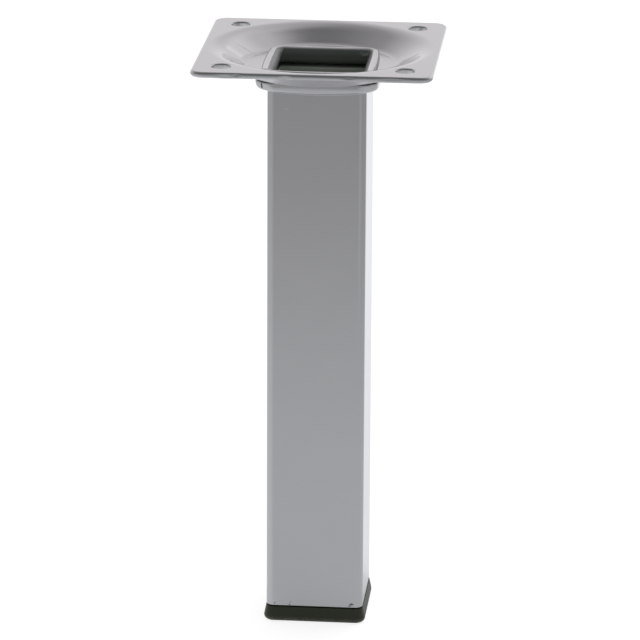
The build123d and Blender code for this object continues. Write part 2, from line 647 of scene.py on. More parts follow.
@dataclass(frozen=True)
class FootPlastic(Finish):
    """Moulded plastic of the foot: olive black, finely textured, a little dusty below, with a painted
    reflection of the floor on its lower edge.
    """

    name: str = "moulded_foot_plastic"
    colour: tuple[float, float, float] = (0.0275, 0.0355, 0.0085)
    # Lighter patches on the lower edge: scuffs and dust, and a painted reflection of the floor
    scuff_and_painted_reflection_colour: tuple[float, float, float] = (0.24, 0.24, 0.18)
    scuff_and_reflection_top: float = 1.6 * MM
    scuff_and_reflection_size: float = 1.6 * MM
    scuff_and_reflection_share: tuple[float, float] = (0.25, 0.6)
    tone_change: float = 0.12
    roughness: float = 0.38
    roughness_change: float = 0.1
    cell_size: float = 0.22 * MM
    grain_strength: float = 0.5
    grain_depth: float = 0.01 * MM

    def build(self) -> bpy.types.Material:
        """Make the material.

        Returns:
            The material.
        """
        material, writer, shader = self.start(self.name)
        place = writer.wire("ShaderNodeTexCoord", output="Object")
        # Lighter patches low on the foot, partly scuffs and dust and partly painted reflection of the
        # floor
        low = writer.smooth_step(writer.split(place)[2], 0.0, self.scuff_and_reflection_top, 1.0, 0.0)
        marks = writer.noise(place, 1 / self.scuff_and_reflection_size, 5.0)
        scuff_and_reflection_mask = low * writer.smooth_step(marks, *self.scuff_and_reflection_share)
        grain = writer.group(Grain().tree(), {
            "Colour": writer.mix_colour(scuff_and_reflection_mask, self.colour, self.scuff_and_painted_reflection_colour),
            "Tone Change": self.tone_change,
            "Roughness": self.roughness,
            "Roughness Change": self.roughness_change,
            "Cell Size": self.cell_size,
        })
        self.dress(writer, shader, grain, self.grain_strength, self.grain_depth)
        return material


@dataclass(frozen=True)
class Bend:
    """A corner of a section line and the radius that rounds it."""

    x: float
    z: float
    radius: float = 0.0


class SectionLine:
    """A line of straights joined by round bends, in a piece's section plane."""

    def __init__(self, bends: Sequence[Bend], arc_step: float = 9.0,
                 guard: float = 0.12 * MM) -> None:
        """Lay the line out.

        Args:
            bends: its corners in order, the first and last being its ends.
            arc_step: the most degrees between two points of a bend.
            guard: how far beside a bend a straight gets a point of its own.
        """
        self.arc_step = arc_step
        self.guard = guard
        self.points: list[Vector] = []
        corners = [Vector((bend.x, bend.z)) for bend in bends]
        ways = [(after - before).normalized() for before, after in zip(corners, corners[1:])]
        self._put(corners[0])
        for index in range(1, len(corners) - 1):
            self._bend(corners[index], ways[index - 1], ways[index], bends[index].radius)
        self._put(corners[-1])

    def _put(self, point: Vector, nearest: float = 0.01 * MM) -> None:
        """Add a point, unless it is where the last one is."""
        if not self.points or (self.points[-1] - point).length > nearest:
            self.points.append(point)

    def _bend(self, corner: Vector, before: Vector, after: Vector, radius: float) -> None:
        """Add a round bend and the guard points beside it.

        Args:
            corner: where the two straights would meet.
            before: the way of the straight that comes in.
            after: the way of the straight that leaves.
            radius: the bend's radius.
        """
        turn = before.angle_signed(after)
        start = corner - before * radius * math.tan(abs(turn) / 2)
        if (start - self.points[-1]).dot(before) > 3 * self.guard:
            self._put(self.points[-1] + before * self.guard)
            self._put(start - before * self.guard)
        side = math.copysign(radius, turn)
        spoke = Vector((-before.y, before.x)) * side
        centre = start - spoke
        steps = max(2, math.ceil(math.degrees(abs(turn)) / self.arc_step))
        for step in range(steps + 1):
            self._put(centre + Matrix.Rotation(-turn * step / steps, 2) @ spoke)


def quarter(steps: int) -> list[tuple[float, float]]:
    """Points of a quarter round: 1 less the cosine and 1 less the sine of each turn."""
    turns = [math.radians(90 * step / steps) for step in range(steps + 1)]
    return [(1 - math.cos(turn), 1 - math.sin(turn)) for turn in turns]


def square_reach(angle: float, half: float, corner: float) -> float:
    """Distance from the middle to the edge of a square with round corners.

    Args:
        angle: the direction, in radians.
        half: half of the square's side.
        corner: the radius of its corners.

    Returns:
        The distance along that direction.
    """
    far, near = sorted((abs(math.cos(angle)), abs(math.sin(angle))), reverse=True)
    straight = half - corner
    if half * near / far <= straight:
        return half / far
    middle = straight * (far + near)
    return middle + math.sqrt(middle * middle - 2 * straight * straight + corner * corner)


def floor_rise(reach: float) -> float:
    """How far the dish's floor, a little hollow from pressing, stands above its middle.

    Args:
        reach: the distance from the leg's axis.

    Returns:
        The rise, which fades out again up the dish's wall.
    """
    out = min(max((reach - RISE_START) / (RISE_TOP - RISE_START), 0.0), 1.0)
    back = min(max((RISE_END - reach) / (RISE_END - RISE_TOP), 0.0), 1.0)
    return RISE * out * back * back * (3 - 2 * back)


def link_object(name: str, mesh: bpy.types.Mesh) -> bpy.types.Object:
    """Put a mesh into the scene as an object at the origin.

    Args:
        name: the object's name.
        mesh: its mesh.

    Returns:
        The object.
    """
    piece = bpy.data.objects.new(name, mesh)
    bpy.context.scene.collection.objects.link(piece)
    return piece


def plain_mesh(name: str, points: Sequence[Any], edges: Sequence[Any],
               faces: Sequence[Any]) -> bpy.types.Mesh:
    """Make a mesh from its points, edges and faces.

    Args:
        name: the mesh's name.
        points: the place of each point.
        edges: the two points of each edge.
        faces: the points of each face, in order.

    Returns:
        The mesh.
    """
    mesh = bpy.data.meshes.new(name)
    mesh.from_pydata(points, edges, faces)
    return mesh


def run_tree(piece: bpy.types.Object, tree: bpy.types.NodeTree, values: dict[str, Any]) -> None:
    """Run a geometry node tree on a piece and keep its result as a plain mesh.

    Args:
        piece: the object whose mesh the tree starts from.
        tree: the tree.
        values: what each of its named inputs takes.
    """
    modifier = piece.modifiers.new(tree.name, "NODES")
    modifier.node_group = tree
    for item in tree.interface.items_tree:
        if item.item_type == "SOCKET" and item.in_out == "INPUT" and item.name in values:
            modifier[item.identifier] = values[item.name]
    depsgraph = bpy.context.evaluated_depsgraph_get()
    result = bpy.data.meshes.new_from_object(
        piece.evaluated_get(depsgraph), preserve_all_data_layers=True, depsgraph=depsgraph)
    piece.modifiers.remove(modifier)
    piece.data = result
    result.name = piece.name
    for index in reversed(range(len(result.materials))):
        if result.materials[index] is None:
            result.materials.pop(index=index)


def close_mesh(piece: bpy.types.Object, merge: float = 0.002 * MM) -> None:
    """Merge a mesh's doubled points and turn all its faces outwards.

    Args:
        piece: the object.
        merge: how near two points are to be one.
    """
    work = bmesh.new()
    work.from_mesh(piece.data)
    bmesh.ops.remove_doubles(work, verts=work.verts, dist=merge)
    bmesh.ops.recalc_face_normals(work, faces=work.faces)
    if work.calc_volume(signed=True) < 0:
        bmesh.ops.reverse_faces(work, faces=work.faces)
    work.to_mesh(piece.data)
    work.free()


@dataclass
class LegTube:
    """Square steel tube, flared over the plate and folded into a bead below it."""

    lacquer: bpy.types.Material
    bore: bpy.types.Material
    wall: float = 1.2 * MM
    corner: float = 2.0 * MM
    half: float = 12.5 * MM
    foot_gap: float = 0.22 * MM
    end_round: float = 0.2 * MM
    corner_steps: int = 14
    side_steps: int = 26

    # Lip: its section, its bow amid each side and its shape at the corners
    lip_thickness: float = 1.2 * MM
    lip_inside_bend: float = 0.55 * MM
    mouth_round: float = 1.75 * MM
    lip_reach: float = 1.3 * MM
    lip_bow: float = 0.45 * MM
    lip_corner: float = 0.35 * MM
    lip_levels: tuple[float, ...] = mm(145.2, 145.9)
    lip_floor_levels: tuple[float, ...] = mm(145.3, 145.55)
    lip_start: float = 11.3 * MM
    lip_width: float = 2.0 * MM
    inner_end: float = 0.12 * MM
    inner_share: float = 0.6

    # Bead: its section, and the slot that its fold leaves on the bore's side
    bead_reach: float = 2.9 * MM
    bead_top: float = 144.08 * MM
    bead_bottom: float = 141.55 * MM
    bead_flank_rise: float = 0.4 * MM
    bead_root_round: float = 0.35 * MM
    bead_lower_round: float = 1.25 * MM
    bead_nose_round: float = 0.45 * MM
    bead_upper_round: float = 0.1 * MM
    slot_top: float = 142.85 * MM
    slot_bottom: float = 142.2 * MM
    slot_depth: float = 2.2 * MM
    slot_floor_rise: float = 0.3 * MM
    slot_roof_fall: float = 0.1 * MM
    slot_entry_round: float = 0.3 * MM
    slot_end_round: float = 0.12 * MM
    slot_roof_round: float = 1.1 * MM

    # Bead: its bow amid each side, its seat under the dish and its corners
    bead_start: float = 12.6 * MM
    bead_width: float = 2.4 * MM
    bow_out: float = 0.3 * MM
    bow_down: float = 0.75 * MM
    bow_fade: float = 4.0 * MM
    bow_fade_above: float = 1.3 * MM
    seat_bend: float = 5.5 * MM
    seat_limit: float = 2.9 * MM
    seat_levels: tuple[float, ...] = mm(142.2, 143.6)
    corner_flare: float = 0.5 * MM
    corner_pinch: float = 0.35
    corner_span: tuple[float, float] = (0.82, 1.08)
    corner_levels: tuple[float, ...] = mm(142.3, 144.0)

    def lip_end(self, level: float) -> Bend:
        """The end of a wall line under or over the lip, where its round tip starts."""
        return Bend(self.wall + self.lip_reach - self.lip_thickness / 2, level)

    def outer_line(self, bottom: float, top: float) -> list[Vector]:
        """The wall's outside in section: straight wall, bead and the lip's underside.

        Args:
            bottom: the level where the straight wall starts.
            top: the level of the lip's upper face.

        Returns:
            Points from the tube's lower end to the lip's tip.
        """
        out = self.wall + self.bead_reach
        under = top - self.lip_thickness
        return SectionLine([
            Bend(self.wall, bottom),
            Bend(self.wall, self.bead_bottom, self.bead_root_round),
            Bend(out, self.bead_bottom + self.bead_flank_rise, self.bead_lower_round),
            Bend(out, self.bead_top, self.bead_nose_round),
            Bend(self.wall, self.bead_top, self.bead_upper_round),
            Bend(self.wall, under, self.lip_inside_bend),
            self.lip_end(under),
        ]).points

    def inner_line(self, bottom: float, top: float) -> list[Vector]:
        """The wall's inside in section: bore, the slot in the folded bead and the mouth.

        Args:
            bottom: the level where the bore starts.
            top: the level of the lip's upper face.

        Returns:
            Points from the tube's lower end to the lip's tip.
        """
        slot_floor = self.slot_bottom + self.slot_floor_rise
        slot_roof = self.slot_top - self.slot_roof_fall
        return SectionLine([
            Bend(0.0, bottom),
            Bend(0.0, self.slot_bottom, self.slot_entry_round),
            Bend(self.slot_depth, slot_floor, self.slot_end_round),
            Bend(self.slot_depth, slot_roof, self.slot_end_round),
            Bend(0.0, self.slot_top, self.slot_roof_round),
            Bend(0.0, top, self.mouth_round),
            self.lip_end(top),
        ]).points

    def section(self) -> bpy.types.Mesh:
        """Draw the wall's section as one closed line, measured out from the bore.

        Returns:
            A mesh of edges, with an inner attribute on the points that face the bore.
        """
        low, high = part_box(Node.TUBE.value)
        bottom = low[2] + self.foot_gap
        cut = self.end_round
        outer = self.outer_line(bottom + cut, high[2])
        inner = self.inner_line(bottom + cut, high[2])
        tip_half = self.lip_thickness / 2
        tip = outer[-1] + Vector((0.0, tip_half))
        nose = [
            tip + tip_half * Vector((math.cos(turn), math.sin(turn)))
            for turn in (math.radians(angle) for angle in range(-70, 71, 20))
        ]
        # How far in the middle of each round corner of the lower end lies
        inset = 0.3 * cut
        ends = [
            Vector((inset, bottom + inset)),
            Vector((cut, bottom)),
            Vector((self.wall - cut, bottom)),
            Vector((self.wall - inset, bottom + inset)),
        ]
        loop = outer + nose + inner[::-1] + ends
        first_inner = len(outer) + len(nose)
        mesh = plain_mesh(
            "tube_section",
            [(point.x, 0.0, point.y) for point in loop],
            [(index, (index + 1) % len(loop)) for index in range(len(loop))],
            [],
        )
        mark = mesh.attributes.new("inner", "FLOAT", "POINT")
        for index, point in enumerate(loop):
            inside = index >= first_inner and point.y < high[2] - self.inner_end
            mark.data[index].value = 1.0 if inside else 0.0
        return mesh

    def tree_values(self) -> dict[str, Any]:
        """What the sweep tree's named inputs take.

        Returns:
            The value of each input by name.
        """
        return {
            "Bore Size": 2 * (self.half - self.wall),
            "Bore Corner": self.corner - self.wall,
            "Corner Steps": self.corner_steps,
            "Side Steps": self.side_steps,
            "Flat Half": self.half,
            "Bow Out": self.bow_out,
            "Bow Down": self.bow_down,
            "Bow Level": self.bead_bottom,
            "Bow Fade": self.bow_fade,
            "Seat Radius": DISH_FLOOR_RADIUS,
            "Seat Bend": self.seat_bend,
            "Corner Flare": self.corner_flare,
            "Lip Bow": self.lip_bow,
            "Lip Corner": self.lip_corner,
            "Lacquer": self.lacquer,
            "Bore Steel": self.bore,
        }

    def sweep_tree(self) -> bpy.types.NodeTree:
        """Build the tree that sweeps the section round the bore and bows bead and lip.

        Returns:
            The geometry node tree.
        """
        writer, entry, leave = geometry_group("tube_sweep", self.tree_values())
        laid = writer.wire("GeometryNodeTransform", {
            "Geometry": entry["Geometry"], "Rotation": (math.pi / 2, 0.0, 0.0)})
        profile = writer.wire("GeometryNodeMeshToCurve", {"Mesh": laid})
        square = writer.wire("GeometryNodeCurvePrimitiveQuadrilateral", {
            "Width": entry["Bore Size"], "Height": entry["Bore Size"]}, mode="RECTANGLE")
        divided = writer.wire("GeometryNodeSubdivideCurve", {
            "Curve": square, "Cuts": entry["Side Steps"] - 1})
        place_in_side = writer.math(
            "MODULO", writer.wire("GeometryNodeInputIndex"), entry["Side Steps"])
        at_corner = writer.math("LESS_THAN", place_in_side, 0.5)
        path = writer.wire("GeometryNodeFilletCurve", {
            "Curve": divided,
            "Count": entry["Corner Steps"],
            "Radius": at_corner * entry["Bore Corner"],
            "Limit Radius": True,
        }, mode="POLY")
        upright = writer.wire("GeometryNodeSetCurveNormal", {"Curve": path}, mode="Z_UP")
        swept = writer.wire("GeometryNodeCurveToMesh", {
            "Curve": upright, "Profile Curve": profile})
        real = writer.wire("GeometryNodeRealizeInstances", {
            "Geometry": self.bow(writer, entry, swept)})
        coated = writer.wire("GeometryNodeSetMaterial", {
            "Geometry": real, "Material": entry["Lacquer"]})
        inner = writer.wire("GeometryNodeInputNamedAttribute", {"Name": "inner"}, data_type="FLOAT")
        writer.feed(leave.inputs["Geometry"], writer.wire("GeometryNodeSetMaterial", {
            "Geometry": coated,
            "Selection": writer.math("GREATER_THAN", inner, self.inner_share),
            "Material": entry["Bore Steel"],
        }))
        return writer.tree

    def bow(self, writer: NodeWriter, entry: dict[str, Wire], mesh: Wire) -> Wire:
        """Add the nodes that bow the bead and the lip, seat the bead and shape its corners.

        Args:
            writer: writes the tree's nodes.
            entry: the tree's inputs.
            mesh: the swept wall.

        Returns:
            The bowed wall.
        """
        wide, deep, height = writer.split(writer.wire("GeometryNodeInputPosition"))
        size_x = writer.math("ABSOLUTE", wide)
        size_y = writer.math("ABSOLUTE", deep)
        longer = writer.math("MAXIMUM", size_x, size_y)
        shorter = writer.math("MINIMUM", size_x, size_y)
        reach = writer.math("SQRT", wide * wide + deep * deep)
        on_x = writer.math("GREATER_THAN", size_x, size_y)
        side_x = writer.math("SIGN", wide) * on_x
        side_y = writer.math("SIGN", deep) * (1.0 - on_x)

        # Swell is 1 amid a side and 0 at its ends, and corner is 1 at the corners
        inside = shorter / entry["Flat Half"]
        swell = writer.math("MAXIMUM", 0.0, 1.0 - writer.math("POWER", inside, 2.0))
        corner = writer.smooth_step(inside, *self.corner_span)

        # The bead hangs lower and stands out amid each side
        above = height - entry["Bow Level"]
        below = writer.math("ABSOLUTE", writer.math("MINIMUM", above, 0.0)) / entry["Bow Fade"]
        low_share = writer.math("SUBTRACT", 1.0, below, clamp=True)
        high_share = writer.math(
            "SUBTRACT", 1.0, writer.math("MAXIMUM", above, 0.0) / self.bow_fade_above, clamp=True)
        down = swell * entry["Bow Down"] * (low_share * high_share)
        radial = writer.math("DIVIDE", longer - self.bead_start, self.bead_width, clamp=True)
        out = swell * entry["Bow Out"] * radial

        # Its upper face follows the dish's bend, and the lip follows the rising floor
        beyond = writer.math("MINIMUM", writer.math(
            "MAXIMUM", 0.0, reach - entry["Seat Radius"]), self.seat_limit)
        bend = entry["Seat Bend"]
        rise = bend - writer.math("SQRT", bend * bend - beyond * beyond)
        slope = writer.math("MAXIMUM", 0.0, reach - RISE_START) / (RISE_TOP - RISE_START)
        seated = (rise * writer.smooth_step(height, *self.seat_levels)
                  + slope * writer.smooth_step(height, *self.lip_floor_levels, 0.0, RISE))

        # The bead's corners flare out, the lip bows out and its corners draw in
        lip = writer.smooth_step(height, *self.lip_levels) * writer.math(
            "DIVIDE", longer - self.lip_start, self.lip_width, clamp=True)
        lip_out = lip * swell * entry["Lip Bow"]
        flare = corner * radial * (entry["Corner Flare"] * writer.smooth_step(
            height, *self.corner_levels, -self.corner_pinch, 1.0))
        flare = flare - corner * lip * entry["Lip Corner"]

        shift = writer.wire("ShaderNodeCombineXYZ", {
            0: side_x * out + side_x * lip_out + flare * (wide / reach),
            1: side_y * out + side_y * lip_out + flare * (deep / reach),
            2: seated - down,
        })
        return writer.wire("GeometryNodeSetPosition", {"Geometry": mesh, "Offset": shift})

    def build(self) -> bpy.types.Object:
        """Make the tube.

        Returns:
            The finished piece.
        """
        piece = link_object("leg_tube_body", self.section())
        run_tree(piece, self.sweep_tree(), self.tree_values())
        close_mesh(piece)
        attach(piece, "root")
        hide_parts(Node.TUBE.value)
        return piece


@dataclass(frozen=True)
class Ring:
    """One loop of the plate's mesh, between a square with round corners and a circle."""

    half: float
    corner: float
    z: float
    radius: float = 0.0
    roundness: float = 0.0

    def point(self, angle: float) -> Vector:
        """The loop's point in a direction from the middle."""
        reach = ((1 - self.roundness) * square_reach(angle, self.half, self.corner)
                 + self.roundness * self.radius)
        return Vector((reach * math.cos(angle), reach * math.sin(angle), self.z))

    def towards(self, radius: float, count: int, outwards: bool) -> list["Ring"]:
        """Flat loops that change from this square into a circle, or back.

        Args:
            radius: the circle's radius.
            count: how many loops.
            outwards: whether the circle is the outer one.

        Returns:
            The loops, from the inner one to the outer one.
        """
        shares = [
            index / count if outwards else 1 - (index + 1) / count for index in range(count)]
        return [Ring(self.half, self.corner, self.z, radius, share) for share in shares]


@dataclass(frozen=True)
class Crease:
    """A faint fold that the press left in the dish's wall, along a radius."""

    angle: float
    slant: float
    start: float
    end: float
    width: float
    height: float

    def lift(self, x: float, y: float) -> float:
        """How far the fold lifts the sheet.

        Args:
            x: the place across.
            y: the place in depth.

        Returns:
            The lift, in metres.
        """
        reach = math.hypot(x, y)
        if not self.start < reach < self.end:
            return 0.0
        share = (reach - self.start) / (self.end - self.start)
        along = math.sin(math.pi * share) ** 0.8
        middle = math.radians(self.angle + self.slant * (share - 0.5))
        turn = (math.atan2(y, x) - middle + math.pi) % (2 * math.pi) - math.pi
        across = turn * reach / self.width
        return self.height * along * math.exp(-across * across)


@dataclass(frozen=True)
class Dent:
    """A small knock in the plate's cut edge."""

    place: tuple[float, ...]
    size: tuple[float, ...]
    push: tuple[float, ...]

    def move(self, point: Vector) -> Vector:
        """How far the knock moves a point of the sheet."""
        far = sum(((point[axis] - self.place[axis]) / self.size[axis]) ** 2 for axis in range(3))
        return Vector(self.push) * math.exp(-far)


@dataclass
class MountingPlate:
    """Square plate pressed from one sheet, with a round dish and four screw holes."""

    lacquer: bpy.types.Material
    thickness: float = 1.5 * MM
    corner: float = 3.5 * MM
    upper_round: float = 0.7 * MM
    lower_round: float = 0.75 * MM
    edge_margin: float = 0.12 * MM
    columns: int = 448
    corner_crowd: float = 0.14

    # Dish: its bends, and how its section is divided
    rim_land: float = 1.0 * MM
    shoulder_bend: float = 9.0 * MM
    floor_bend: float = 4.0 * MM
    floor_margin: float = 0.3 * MM
    dish_arc_step: float = 1.6
    dish_step: float = 0.35 * MM

    # Square hole in the dish's floor
    hole_half: float = 12.6 * MM
    hole_corner: float = 2.1 * MM
    hole_round: float = 0.65 * MM
    hole_break: float = 0.3 * MM
    hole_margin: float = 0.1 * MM
    flat_margin: float = 0.4 * MM

    # Screw holes: their rounded mouth and the tear-out below
    mouth_round: float = 0.45 * MM
    break_out: float = 0.45 * MM
    cutter_depth: float = 3 * MM
    cutter_rise: float = 1 * MM
    cutter_margin: float = 0.05 * MM
    cutter_lift: float = 0.004 * MM
    cutter_columns: int = 72

    # How steeply a face has to look down to lie in the spray's shadow, where the lacquer is rougher and
    # painted lighter as painted light
    shadow_slope: float = 2.5
    shadow_start: float = 1.2

    creases: tuple[Crease, ...] = (
        Crease(157.0, 7.0, *mm(18.3, 25.0, 0.55, 0.13)),
        Crease(189.0, -10.0, *mm(18.2, 26.5, 0.8, 0.028)),
        Crease(-7.0, 14.0, *mm(17.3, 26.0, 1.5, 0.15)),
    )
    dents: tuple[Dent, ...] = (
        Dent(mm(-21.0, -30.0, 149.2), mm(2.2, 0.9, 0.5), mm(0.0, 0.34, -0.26)),
        Dent(mm(-18.2, -30.0, 149.5), mm(0.9, 0.9, 0.4), mm(0.0, 0.26, -0.02)),
        Dent(mm(-6.2, -30.0, 149.1), mm(1.1, 0.9, 0.45), mm(0.0, 0.38, -0.2)),
        Dent(mm(9.5, -30.0, 149.5), mm(1.6, 0.9, 0.4), mm(0.0, 0.18, -0.14)),
        Dent(mm(20.0, -30.0, 149.3), mm(3.0, 0.9, 0.5), mm(0.0, 0.24, 0.0)),
    )

    def sizes(self) -> tuple[float, float, float]:
        """The plate's half side, its top level and its dish's depth, from the frame."""
        low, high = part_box(Node.PLATE.value)
        return high[0], high[2], high[2] - low[2] - self.thickness

    def dish_rings(self, drop: float) -> list[Ring]:
        """The round loops of the dish on one face of the sheet.

        Args:
            drop: how far the face lies below the upper face.

        Returns:
            The loops, from the dish's floor out to its rim.
        """
        half, top, depth = self.sizes()
        rim = half - self.rim_land
        run = rim - DISH_FLOOR_RADIUS
        both = self.shoulder_bend + self.floor_bend
        rise = both - depth
        slope = math.asin(both / math.hypot(run, rise)) - math.atan2(rise, run)
        half_turn = math.tan(slope / 2)
        floor = top - depth - drop
        floor_corner = DISH_FLOOR_RADIUS + (self.floor_bend + drop) * half_turn
        rim_corner = rim - (self.shoulder_bend - drop) * half_turn
        points = SectionLine([
            Bend(DISH_FLOOR_RADIUS - self.floor_margin, floor),
            Bend(floor_corner, floor, self.floor_bend + drop),
            Bend(rim_corner, top - drop, self.shoulder_bend - drop),
            Bend(rim, top - drop),
        ], arc_step=self.dish_arc_step).points
        finer: list[Vector] = [points[0]]
        for before, after in zip(points, points[1:]):
            pieces = max(1, round((after - before).length / self.dish_step))
            finer += [before.lerp(after, (index + 1) / pieces) for index in range(pieces)]
        return [Ring(half, self.corner, point.y, point.x, 1.0) for point in finer]

    def rings(self) -> list[Ring]:
        """All the mesh's loops in order, once round the sheet's section.

        Returns:
            The loops, from the square hole's wall over the top and back underneath.
        """
        half, top, depth = self.sizes()
        low = top - self.thickness
        floor = top - depth
        under = floor - self.thickness
        rim = half - self.rim_land
        flat_end = DISH_FLOOR_RADIUS - self.flat_margin

        # The square hole's wall with its rounded upper edge, and the floor round it
        hole = self.hole_half
        hole_corner = self.hole_corner
        bend = self.hole_round
        rings = [
            Ring(hole + self.hole_break, hole_corner + self.hole_break, under),
            Ring(hole, hole_corner, under + self.hole_break),
            Ring(hole, hole_corner, floor - bend - self.hole_margin),
        ]
        rings += [
            Ring(hole + bend * out, hole_corner + bend * out, floor - bend * down)
            for out, down in quarter(6)
        ]
        rings += Ring(hole + bend + self.hole_margin, hole_corner + bend, floor).towards(
            flat_end, 5, True)
        rings += self.dish_rings(0.0)

        # The upper face outside the dish, the plate's edge and the same face underneath
        edge = self.upper_round
        rings += Ring(half - edge - self.edge_margin, self.corner - edge, top).towards(
            rim, 6, False)
        rings += [
            Ring(half - edge * back, self.corner - edge * back, top - edge * down)
            for down, back in quarter(7)
        ]
        edge = self.lower_round
        rings += [
            Ring(half - edge * back, self.corner - edge * back, low + edge * up)
            for back, up in quarter(4)
        ]
        rings += Ring(half - edge - self.edge_margin, self.corner - edge, low).towards(
            rim, 6, False)[::-1]

        # The underside, back to the hole
        rings += self.dish_rings(self.thickness)[::-1]
        rings += Ring(hole + self.flat_margin, hole_corner + self.flat_margin, under).towards(
            flat_end, 4, True)[::-1]
        return rings

    def lift(self, x: float, y: float) -> float:
        """How far the creases and the floor's slight hollow lift the sheet at a place."""
        return floor_rise(math.hypot(x, y)) + sum(crease.lift(x, y) for crease in self.creases)

    def sheet(self) -> bpy.types.Mesh:
        """Build the sheet without its screw holes.

        Returns:
            The closed mesh.
        """
        rings = self.rings()
        angles = []
        for column in range(self.columns):
            even = 2 * math.pi * column / self.columns
            angles.append(even + self.corner_crowd * math.sin(4 * even))
        points = []
        for ring in rings:
            for angle in angles:
                point = ring.point(angle)
                point.z += self.lift(point.x, point.y)
                for dent in self.dents:
                    point += dent.move(point)
                points.append(point)
        faces = []
        for row in range(len(rings)):
            start = row * self.columns
            after = (row + 1) % len(rings) * self.columns
            for column in range(self.columns):
                beside = (column + 1) % self.columns
                faces.append((start + column, start + beside, after + beside, after + column))
        return plain_mesh("plate_sheet", points, [], faces)

    def cutter(self, top: float, radius: float) -> bpy.types.Mesh:
        """Build the body that cuts one screw hole, around the origin's upright line.

        Args:
            top: the level of the plate's upper face.
            radius: the hole's radius.

        Returns:
            The cutter's mesh.
        """
        bend = self.mouth_round
        flare = self.break_out / (self.thickness - bend)
        mouth = radius + bend + self.cutter_margin
        outline = [(radius + flare * (self.cutter_depth - bend), -self.cutter_depth)]
        outline += [(radius + bend * out, -bend * down) for out, down in quarter(6)]
        outline += [(mouth, self.cutter_lift), (mouth, self.cutter_rise)]
        columns = self.cutter_columns
        points = [Vector((0.0, 0.0, top - self.cutter_depth))]
        for reach, level in map(Vector, outline):
            for column in range(columns):
                turn = 2 * math.pi * column / columns
                points.append(Vector((
                    reach * math.cos(turn), reach * math.sin(turn), top + level)))
        points.append(Vector((0.0, 0.0, top + self.cutter_rise)))
        last = len(points) - 1
        high = last - columns
        faces: list[tuple[int, ...]] = []
        for column in range(columns):
            beside = (column + 1) % columns
            faces.append((0, 1 + beside, 1 + column))
            for low in range(1, high, columns):
                faces.append((low + column, low + beside,
                              low + columns + beside, low + columns + column))
            faces.append((last, high + column, high + beside))
        return plain_mesh("hole_cutter", points, [], faces)

    def hole_tree(self, values: dict[str, Any]) -> bpy.types.NodeTree:
        """Build the tree that cuts one hole at each corner of a square pattern.

        Args:
            values: what its named inputs take.

        Returns:
            The geometry node tree.
        """
        writer, entry, leave = geometry_group("screw_holes", values)
        corners = writer.wire("GeometryNodeMeshGrid", {
            "Size X": entry["Spacing"], "Size Y": entry["Spacing"],
            "Vertices X": 2, "Vertices Y": 2})
        tool = writer.wire("GeometryNodeObjectInfo", {"Object": entry["Cutter"]}, "Geometry")
        tools = writer.wire("GeometryNodeInstanceOnPoints", {"Points": corners, "Instance": tool})
        real = writer.wire("GeometryNodeRealizeInstances", {"Geometry": tools})
        cut = writer.add("GeometryNodeMeshBoolean", {
            "Mesh 1": entry["Geometry"], "Mesh 2": real}, operation="DIFFERENCE", solver="EXACT")
        rim = writer.wire("GeometryNodeStoreNamedAttribute", {
            "Geometry": cut.outputs["Mesh"],
            "Selection": cut.outputs["Intersecting Edges"],
            "Name": "sharp_edge",
            "Value": True,
        }, data_type="BOOLEAN", domain="EDGE")
        done = writer.wire("GeometryNodeRealizeInstances", {"Geometry": rim})
        writer.feed(leave.inputs["Geometry"], writer.wire("GeometryNodeSetMaterial", {
            "Geometry": done, "Material": entry["Lacquer"]}))
        return writer.tree

    def build(self) -> bpy.types.Object:
        """Make the plate.

        Returns:
            The finished piece.
        """
        mount = next(item for item in frame["record"]["mounts"] if item["name"] == "screw_holes")
        dims = mount["dims"]
        _, top, _ = self.sizes()
        piece = link_object("mounting_plate_sheet", self.sheet())
        close_mesh(piece)
        cutter = link_object("hole_cutter", self.cutter(top, dims["hole_r_mm"] * MM))
        close_mesh(cutter)
        values = {
            "Spacing": dims["spacing_x_mm"] * MM, "Cutter": cutter, "Lacquer": self.lacquer}
        run_tree(piece, self.hole_tree(values), values)
        bpy.data.objects.remove(cutter)
        for polygon in piece.data.polygons:
            polygon.use_smooth = True
        # Faces that look down get rougher lacquer and painted light, a lighter colour for the floor
        # below
        shadow = piece.data.attributes.new(UNDERSIDE_SPRAY_AND_PAINTED_LIGHT, "FLOAT", "POINT")
        for vertex in piece.data.vertices:
            share = -self.shadow_slope * vertex.normal.z - self.shadow_start
            shadow.data[vertex.index].value = min(max(share, 0.0), 1.0)
        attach(piece, "root")
        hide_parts(Node.PLATE.value)
        return piece


@dataclass
class FootCap:
    """Plastic foot pushed into the tube's lower end."""

    plastic: bpy.types.Material

    def build(self) -> bpy.types.Object:
        """Dress the foot's own solid.

        Returns:
            The node's object.
        """
        piece = frame["nodes"][Node.FOOT.value]
        piece.data.materials.clear()
        piece.data.materials.append(self.plastic)
        return piece


@dataclass
class PhotoCamera:
    """The camera at the photograph's viewing angle."""

    azimuth: float = 5.1
    elevation: float = 17.2
    roll: float = 0.3
    distance: float = 1.1
    lens: float = 241.0
    aim: tuple[float, float, float] = (0.0, 0.0009, 0.0778)

    def build(self) -> bpy.types.Object:
        """Make the camera and set it on the scene.

        Returns:
            The camera.
        """
        back = look_way(self.azimuth, self.elevation)
        data = bpy.data.cameras.new("photo_camera")
        data.lens = self.lens
        camera = bpy.data.objects.new("photo_camera", data)
        camera.location = Vector(self.aim) + back * self.distance
        turn = (-back).to_track_quat("-Z", "Y").to_matrix()
        roll = Matrix.Rotation(math.radians(self.roll), 3, "Z")
        camera.rotation_euler = (turn @ roll).to_euler()
        bpy.context.scene.collection.objects.link(camera)
        bpy.context.scene.camera = camera
        return camera


